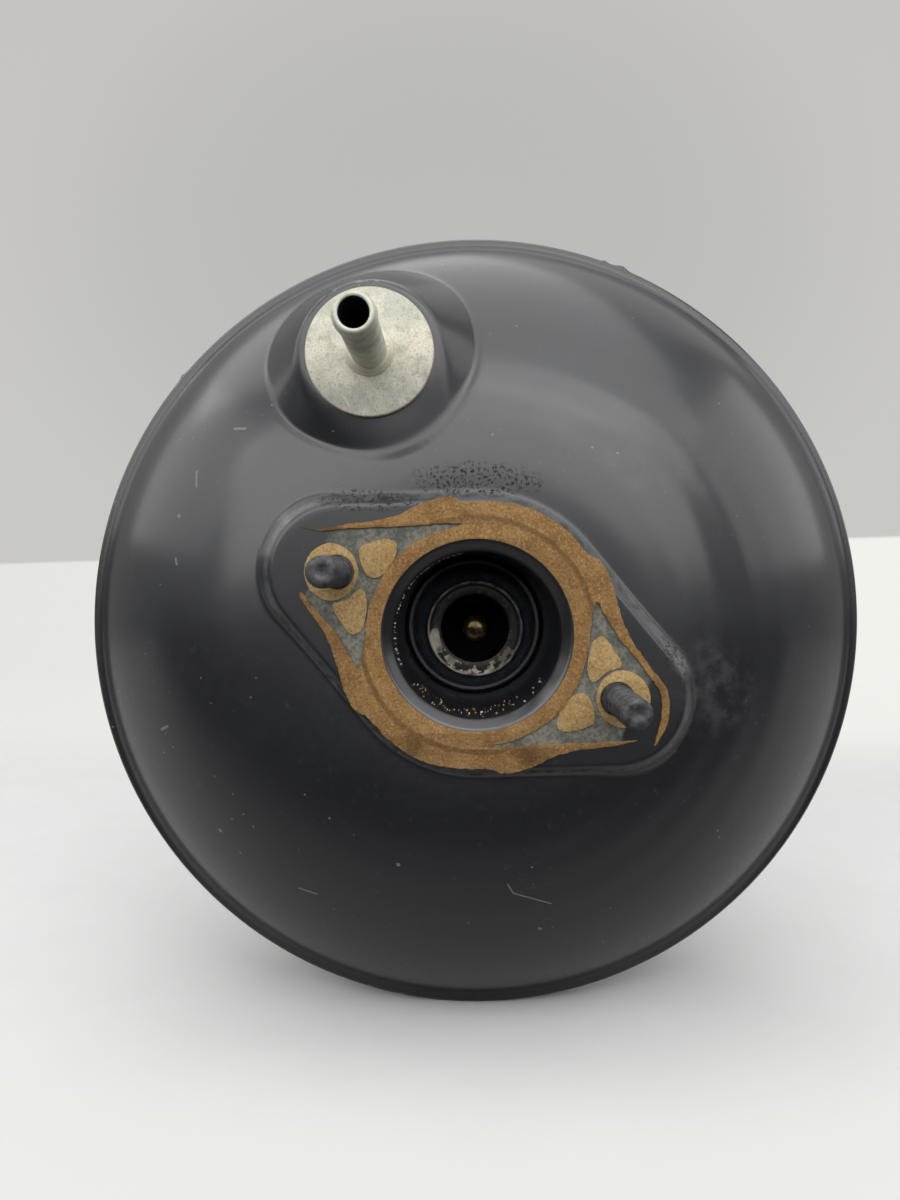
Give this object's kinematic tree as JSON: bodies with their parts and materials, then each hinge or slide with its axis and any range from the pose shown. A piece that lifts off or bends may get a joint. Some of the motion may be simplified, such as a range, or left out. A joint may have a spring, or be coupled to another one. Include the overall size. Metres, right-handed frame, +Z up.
{
  "type": "vacuum brake booster",
  "caption": "Single-diaphragm vacuum brake booster: dished steel shells, sliding power piston, pedal rod with clevis, master cylinder studs and a hose nipple.",
  "frame": {"origin": "centre of the firewall stud pattern, on the rear shell's flat mounting face", "axes": "+Y along the centre line towards the brake pedal, -Y towards the master cylinder, +Z up with the hose nipple above the centre"},
  "size_m": [0.247, 0.2856, 0.247],
  "materials": {
    "black_paint": "satin",
    "steel": "satin",
    "stud_steel": "phosphated",
    "zinc": "zinc plated",
    "nipple_zinc": "dull zinc plated",
    "gasket_paper": "matte",
    "seal_rubber": "matte",
    "black_rubber": "matte",
    "plastic": "matte",
    "spring_steel": "satin",
    "rod_steel": "yellow passivated",
    "felt": "matte",
    "foam": "matte"
  },
  "bodies": {
    "shell": {"front_shell": "black_paint", "front_reinforcement_plate": "steel", "master_cylinder_studs": "stud_steel", "flange_gasket": "gasket_paper", "vacuum_disc": "zinc", "vacuum_nipple": "nipple_zinc", "front_seal": "seal_rubber", "rear_shell": "black_paint", "firewall_studs": "zinc", "neck_bearing": "plastic", "neck_seal": "black_rubber", "dust_boot": "black_rubber", "return_spring": "spring_steel", "diaphragm": "black_rubber"},
    "power_piston": {"return_spring_seat": "steel", "diaphragm_plate": "steel", "valve_body": "plastic", "output_rod": "rod_steel", "reaction_disc": "black_rubber", "poppet_valve": "black_rubber", "poppet_spring": "spring_steel", "poppet_retainer": "steel", "air_filter": "felt", "air_silencer": "foam", "input_rod_spring": "spring_steel"},
    "stop_key": {"stop_key": "steel"},
    "valve_plunger": {"valve_plunger": "steel"},
    "pedal_rod": {"input_rod": "zinc", "input_rod_spring_seat": "steel", "clevis_lock_nut": "zinc", "clevis": "zinc"}
  },
  "joints": [
    {"name": "power_piston_slide", "type": "slide", "parent": "shell", "child": "power_piston", "axis": [0, -1, 0], "range_m": [0, 0.032], "stiffness_N_per_m": 1800, "springref_m": -0.06, "deforming": ["return_spring", "diaphragm", "dust_boot"]},
    {"name": "stop_key_slide", "type": "slide", "parent": "power_piston", "child": "stop_key", "axis": [0, 1, 0], "range_m": [0, 0.0015]},
    {"name": "valve_plunger_slide", "type": "slide", "parent": "power_piston", "child": "valve_plunger", "axis": [0, -1, 0], "range_m": [0, 0.002], "stiffness_N_per_m": 4000, "springref_m": -0.01, "deforming": ["input_rod_spring", "poppet_spring", "poppet_valve", "reaction_disc"]},
    {"name": "pedal_rod_tilt", "type": "hinge", "parent": "valve_plunger", "child": "pedal_rod", "pos_m": [0, 0.0056, 0], "axis": [1, 0, 0], "range_deg": [-3, 3], "stiffness_Nm_per_rad": 12, "deforming": ["air_filter", "air_silencer"]}
  ],
  "couplings": [
    {"joint": "stop_key_slide", "follows": "power_piston_slide", "ratio": 0.046875}
  ]
}
